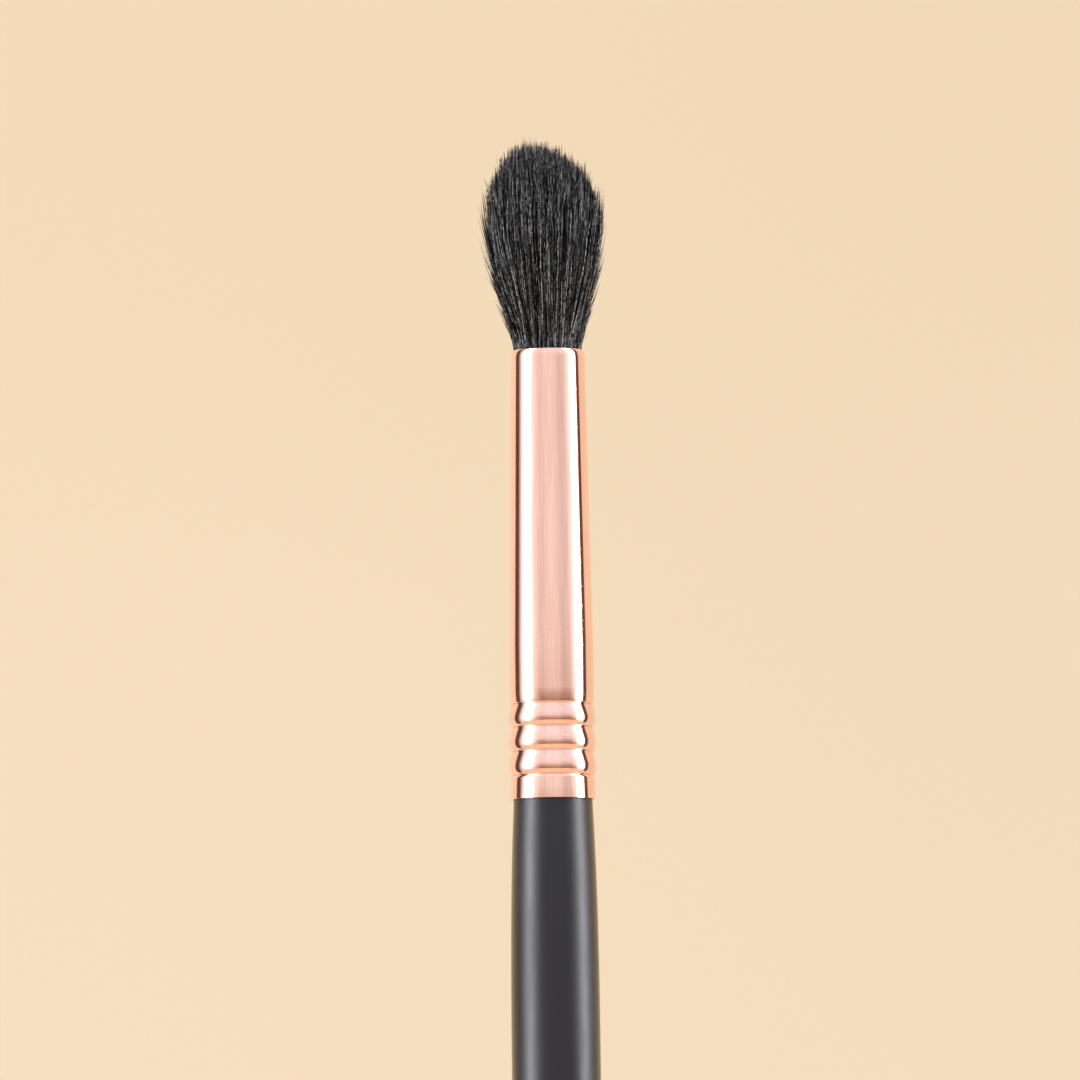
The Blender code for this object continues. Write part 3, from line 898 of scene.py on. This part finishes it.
def fill_light(tree, azimuth, levelled):
    """The walls and the white fill, with the darker patch of the front and the lifted stripe."""
    from_patch = away_from(tree, azimuth, PATCH_AZIMUTH)
    bow = maths(tree, "POWER", from_patch, 2.0)
    bow = maths(tree, "MULTIPLY", bow, mapped(tree, levelled, *PATCH_BOW_HEIGHTS))
    place = maths(tree, "ADD", levelled, FRONT_ZERO_PLACE)
    place = maths(tree, "MULTIPLY_ADD", bow, -PATCH_BOW, place)
    front = ramp(tree, place, [(height + FRONT_ZERO_PLACE, colour) for height, colour in FRONT_STOPS])
    front = mixed(tree, mapped(tree, from_patch, *PATCH_ENDS), (1, 1, 1, 1), front)
    fill = vector_maths(tree, "MULTIPLY", direction_ramp(tree, azimuth, FILL_STOPS), front)
    stripe = mapped(tree, away_from(tree, azimuth, STRIPE_AZIMUTH), *STRIPE_ENDS)
    lifted = maths(tree, "MULTIPLY", stripe, mapped(tree, levelled, *STRIPE_HEIGHTS))
    return scaled(tree, fill, maths(tree, "MULTIPLY_ADD", lifted, STRIPE_LIFT, 1.0))


def softbox_light(tree, softboxes, levelled, z, is_mirrored):
    """The softboxes' light, from their foot on the table to their top."""
    foot = mapped(tree, levelled, *SOFTBOX_FOOT)
    steps = maths(tree, "ADD", foot, mapped(tree, levelled, *SOFTBOX_BODY))
    steps = maths(tree, "MULTIPLY", steps, mapped(tree, z, *SOFTBOX_TOP))
    light = maths(tree, "MULTIPLY", softboxes, steps)
    power = mapped(tree, is_mirrored, 0.0, 1.0, SOFTBOX_POWER, SOFTBOX_MIRRORED)
    light = maths(tree, "MULTIPLY", light, power)
    return add(tree, "ShaderNodeCombineXYZ", {0: light, 1: light, 2: light}).outputs[0]


def backdrop(tree, x, z):
    """What the camera sees behind the brush."""
    colour = mixed(tree, mapped(tree, z, *BACKDROP_HEIGHTS), BACKDROP_LOW, BACKDROP_HIGH)
    return scaled(tree, colour, mapped(tree, x, *BACKDROP_ACROSS))


def make_world():
    world = bpy.data.worlds.new("studio")
    bpy.context.scene.world = world
    world.use_nodes = True
    tree = world.node_tree
    tree.nodes.clear()
    look = add(tree, "ShaderNodeTexCoord").outputs["Generated"]
    x, y, z = add(tree, "ShaderNodeSeparateXYZ", {0: look}).outputs
    azimuth = maths(tree, "ARCTAN2", x, maths(tree, "MULTIPLY", y, -1.0))
    levelled = levelled_height(tree, azimuth, z)
    path = add(tree, "ShaderNodeLightPath").outputs
    softboxes = direction_ramp(tree, azimuth, SOFTBOX_STOPS)
    table = mixed(tree, softboxes, TABLE_PLAIN, TABLE_LIT)
    above_table = mapped(tree, levelled, *TABLE_EDGE)
    studio = mixed(tree, above_table, table, fill_light(tree, azimuth, levelled))
    white = softbox_light(tree, softboxes, levelled, z, path["Is Glossy Ray"])
    studio = vector_maths(tree, "ADD", studio, white)
    shown = mixed(tree, path["Is Camera Ray"], studio, backdrop(tree, x, z))
    background = add(tree, "ShaderNodeBackground", {"Color": shown}).outputs[0]
    add(tree, "ShaderNodeOutputWorld", {"Surface": background})


# Floor, a wide plain card that no piece mirrors
FLOOR_RADIUS = 4.0
FLOOR_SIDES = 96
FLOOR_DARK = (0.84, 0.665, 0.46, 1)
FLOOR_LIGHT = (0.88, 0.7, 0.49, 1)
FLOOR_WAVES = (900.0, 900.0, 900.0)
FLOOR_ROUGHNESS = 0.9
FLOOR_SPECULAR = 0.1
FLOOR_BUMP = 0.05 * MM


def make_floor():
    bpy.ops.mesh.primitive_circle_add(
        vertices=FLOOR_SIDES, radius=FLOOR_RADIUS, fill_type="NGON", location=(0, 0, 0)
    )
    floor = bpy.context.object
    floor.name = "floor"
    made, tree, shader = new_tree("floor_card")
    fibre = noise(tree, FLOOR_WAVES)
    feed(tree, mixed(tree, fibre, FLOOR_DARK, FLOOR_LIGHT), shader, "Base Color")
    shader.inputs["Roughness"].default_value = FLOOR_ROUGHNESS
    shader.inputs["Specular IOR Level"].default_value = FLOOR_SPECULAR
    bumped(tree, shader, fibre, FLOOR_BUMP)
    coat(floor.data, made)
    floor.visible_glossy = False


# Camera: its place, the tilt that puts the brush's top in the frame, and its lens and sensor in mm
CAMERA_DISTANCE = 0.966
CAMERA_HEIGHT = 50.5 * MM
CAMERA_SIDE = -0.94 * MM
CAMERA_TILT = math.radians(5.157)
CAMERA_ROLL = math.radians(-0.7)
CAMERA_LENS = 341.0
CAMERA_SENSOR = 36.0
CAMERA_NEAR = 0.01


def make_camera():
    data = bpy.data.cameras.new("camera")
    data.sensor_width = CAMERA_SENSOR
    data.lens = CAMERA_LENS
    data.clip_start = CAMERA_NEAR
    camera = new_object("camera", data)
    tilt = Matrix.Rotation(math.pi / 2 + CAMERA_TILT, 4, "X")
    roll = Matrix.Rotation(CAMERA_ROLL, 4, "Z")
    place = Matrix.Translation(Vector((CAMERA_SIDE, -CAMERA_DISTANCE, CAMERA_HEIGHT)))
    camera.matrix_world = place @ tilt @ roll
    bpy.context.scene.camera = camera


def main():
    make_camera()
    make_world()
    make_floor()
    make_handle()
    make_ferrule()
    hair = black_hair()
    make_hair(hair)
    make_strays(hair)
    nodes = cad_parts
    coat(nodes["root_thread"].data, binding_thread())
    coat(nodes["resin_plug"].data, set_resin())
    coat(nodes["glue_bead"].data, handle_glue())
    bpy.context.scene.view_settings.view_transform = "Standard"


main()
